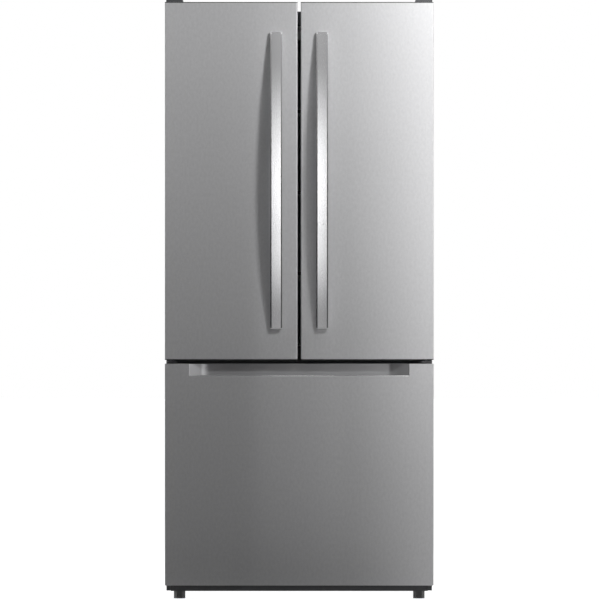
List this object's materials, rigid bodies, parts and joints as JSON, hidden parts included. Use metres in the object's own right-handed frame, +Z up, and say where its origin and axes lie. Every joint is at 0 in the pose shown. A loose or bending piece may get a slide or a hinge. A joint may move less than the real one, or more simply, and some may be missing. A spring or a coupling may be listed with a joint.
{
  "type": "french door refrigerator",
  "caption": "Free-standing french door refrigerator: swinging steel doors with bowed bar handles over a pull-out freezer drawer with a scooped finger pull.",
  "frame": {"origin": "on the floor under the middle of the whole object's box", "axes": "+Z up, -Y out of the doors towards the user, +X to the user's right"},
  "size_m": [0.749, 0.7899, 1.675],
  "materials": {
    "steel_skin": "fine brushed stainless sheet",
    "handle_steel": "satin brushed stainless bar",
    "cabinet_paint": "textured grey paint",
    "galvanised": "zinc coated sheet",
    "dark_plastic": "fine moulded texture",
    "grey_plastic": "fine moulded texture",
    "liner_white": "smooth formed sheet",
    "foam": "closed cell foam",
    "clear_tub": "clear moulded plastic",
    "shelf_glass": "clear tempered glass",
    "gasket": "soft magnetic seal",
    "black_metal": "gloss black enamel",
    "slide_steel": "bright zinc",
    "copper_tube": "drawn copper tube",
    "fin_aluminium": "thin plain fins",
    "lens": "milky diffuser",
    "black_gloss": "smooth touch panel",
    "foot_rubber": "hard moulded plastic"
  },
  "bodies": {
    "cabinet": {"left_side_panel": "cabinet_paint", "right_side_panel": "cabinet_paint", "top_panel": "cabinet_paint", "back_panel": "galvanised", "insulation": "foam", "fresh_food_liner": "liner_white", "freezer_liner": "liner_white", "mid_rail": "cabinet_paint", "base_rail": "dark_plastic", "base_pan": "galvanised", "compressor": "black_metal", "condenser_coil": "black_metal", "drain_pan": "dark_plastic", "fan_motors": "black_metal", "rear_cover": "grey_plastic", "power_gland": "dark_plastic", "top_hinges": "slide_steel", "hinge_covers": "dark_plastic", "mid_hinges": "slide_steel", "shelf_frames": "liner_white", "shelf_panes": "shelf_glass", "air_duct": "liner_white", "control_panel": "black_gloss", "lamp_lens": "lens", "evaporator": "fin_aluminium", "evaporator_cover": "liner_white", "outer_rails": "slide_steel"},
    "left_door": {"left_door_skin": "steel_skin", "left_door_caps": "dark_plastic", "left_door_liner": "liner_white", "left_door_gasket": "gasket", "left_handle": "handle_steel", "left_door_bins": "clear_tub"},
    "flip_mullion": {"flip_mullion": "grey_plastic"},
    "right_door": {"right_door_skin": "steel_skin", "right_door_caps": "dark_plastic", "right_door_liner": "liner_white", "right_door_gasket": "gasket", "right_handle": "handle_steel", "right_door_bins": "clear_tub"},
    "dairy_lid": {"dairy_lid": "clear_tub"},
    "freezer_drawer": {"drawer_skin": "steel_skin", "drawer_core": "liner_white", "drawer_gasket": "gasket", "pocket_grip": "grey_plastic", "drawer_frame": "slide_steel", "lower_basket": "clear_tub"},
    "upper_tray": {"upper_tray": "clear_tub"},
    "middle_rails": {"middle_rails": "slide_steel"},
    "left_crisper": {"left_crisper": "clear_tub"},
    "right_crisper": {"right_crisper": "clear_tub"},
    "left_humidity_slider": {"left_humidity_slider": "grey_plastic"},
    "right_humidity_slider": {"right_humidity_slider": "grey_plastic"},
    "left_foot": {"left_foot": "foot_rubber"},
    "right_foot": {"right_foot": "foot_rubber"},
    "left_roller": {"left_roller": "foot_rubber"},
    "right_roller": {"right_roller": "foot_rubber"},
    "condenser_fan": {"condenser_fan": "dark_plastic"},
    "evaporator_fan": {"evaporator_fan": "dark_plastic"}
  },
  "joints": [
    {"name": "left_door_hinge", "type": "hinge", "parent": "cabinet", "child": "left_door", "pos_m": [-0.352, -0.31, 0.668], "axis": [0, 0, -1], "range_deg": [0, 120]},
    {"name": "right_door_hinge", "type": "hinge", "parent": "cabinet", "child": "right_door", "pos_m": [0.352, -0.31, 0.668], "axis": [0, 0, 1], "range_deg": [0, 120]},
    {"name": "flip_mullion_fold", "type": "hinge", "parent": "left_door", "child": "flip_mullion", "pos_m": [-0.03, -0.2565, 0.725], "axis": [0, 0, 1], "range_deg": [-90, 0]},
    {"name": "dairy_lid_hinge", "type": "hinge", "parent": "right_door", "child": "dairy_lid", "pos_m": [0.179, -0.2937, 1.4495], "axis": [1, 0, 0], "range_deg": [0, 75]},
    {"name": "freezer_drawer_slide", "type": "slide", "parent": "cabinet", "child": "freezer_drawer", "axis": [0, -1, 0], "range_m": [0, 0.38]},
    {"name": "middle_rail_slide", "type": "slide", "parent": "cabinet", "child": "middle_rails", "axis": [0, -1, 0], "range_m": [0, 0.19]},
    {"name": "upper_tray_slide", "type": "slide", "parent": "freezer_drawer", "child": "upper_tray", "axis": [0, 1, 0], "range_m": [0, 0.13]},
    {"name": "left_crisper_slide", "type": "slide", "parent": "cabinet", "child": "left_crisper", "axis": [0, -1, 0], "range_m": [0, 0.055]},
    {"name": "right_crisper_slide", "type": "slide", "parent": "cabinet", "child": "right_crisper", "axis": [0, -1, 0], "range_m": [0, 0.055]},
    {"name": "left_humidity_slide", "type": "slide", "parent": "cabinet", "child": "left_humidity_slider", "axis": [1, 0, 0], "range_m": [0, 0.04]},
    {"name": "right_humidity_slide", "type": "slide", "parent": "cabinet", "child": "right_humidity_slider", "axis": [1, 0, 0], "range_m": [0, 0.04]},
    {"name": "left_foot_screw", "type": "slide", "parent": "cabinet", "child": "left_foot", "axis": [0, 0, -1], "range_m": [0, 0.012]},
    {"name": "right_foot_screw", "type": "slide", "parent": "cabinet", "child": "right_foot", "axis": [0, 0, -1], "range_m": [0, 0.012]},
    {"name": "left_roller_axle", "type": "hinge", "parent": "cabinet", "child": "left_roller", "pos_m": [-0.33, 0.328, 0.02], "axis": [1, 0, 0], "continuous": true},
    {"name": "right_roller_axle", "type": "hinge", "parent": "cabinet", "child": "right_roller", "pos_m": [0.33, 0.328, 0.02], "axis": [1, 0, 0], "continuous": true},
    {"name": "condenser_fan_shaft", "type": "hinge", "parent": "cabinet", "child": "condenser_fan", "pos_m": [-0.02, 0.258, 0.1635], "axis": [1, 0, 0], "continuous": true},
    {"name": "evaporator_fan_shaft", "type": "hinge", "parent": "cabinet", "child": "evaporator_fan", "pos_m": [0, 0.266, 0.548], "axis": [0, -1, 0], "continuous": true}
  ],
  "couplings": [
    {"joint": "middle_rail_slide", "follows": "freezer_drawer_slide", "ratio": 0.5}
  ]
}
